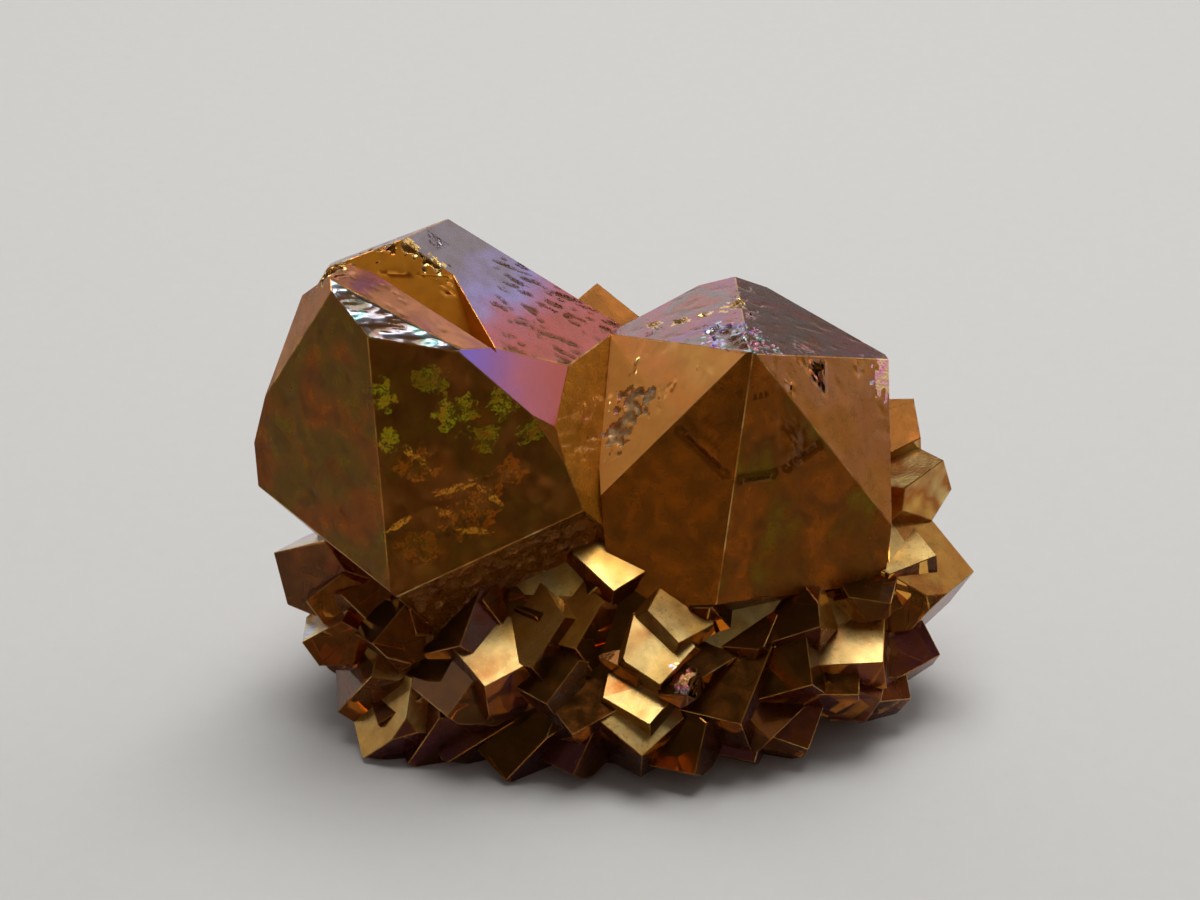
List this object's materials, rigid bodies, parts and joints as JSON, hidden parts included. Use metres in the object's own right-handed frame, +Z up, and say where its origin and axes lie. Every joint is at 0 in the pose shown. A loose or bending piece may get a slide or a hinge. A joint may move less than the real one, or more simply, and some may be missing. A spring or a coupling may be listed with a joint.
{
  "type": "aura quartz cluster",
  "caption": "Natural quartz cluster with large points rising from a crust of small points, film-coated in amber, violet and gold, on a flat base.",
  "frame": {"origin": "on the flat resting face, under the middle of the whole cluster's box", "axes": "+Z up from the resting face, +X along the row of the large points, the best side facing -Y"},
  "size_m": [0.0376, 0.024, 0.0262],
  "materials": {
    "coated_quartz": "clear amber quartz under a thin metallic film, violet and pink on the upper faces, gold on the small points"
  },
  "bodies": {
    "root": {"quartz_cluster": "coated_quartz"}
  },
  "joints": []
}
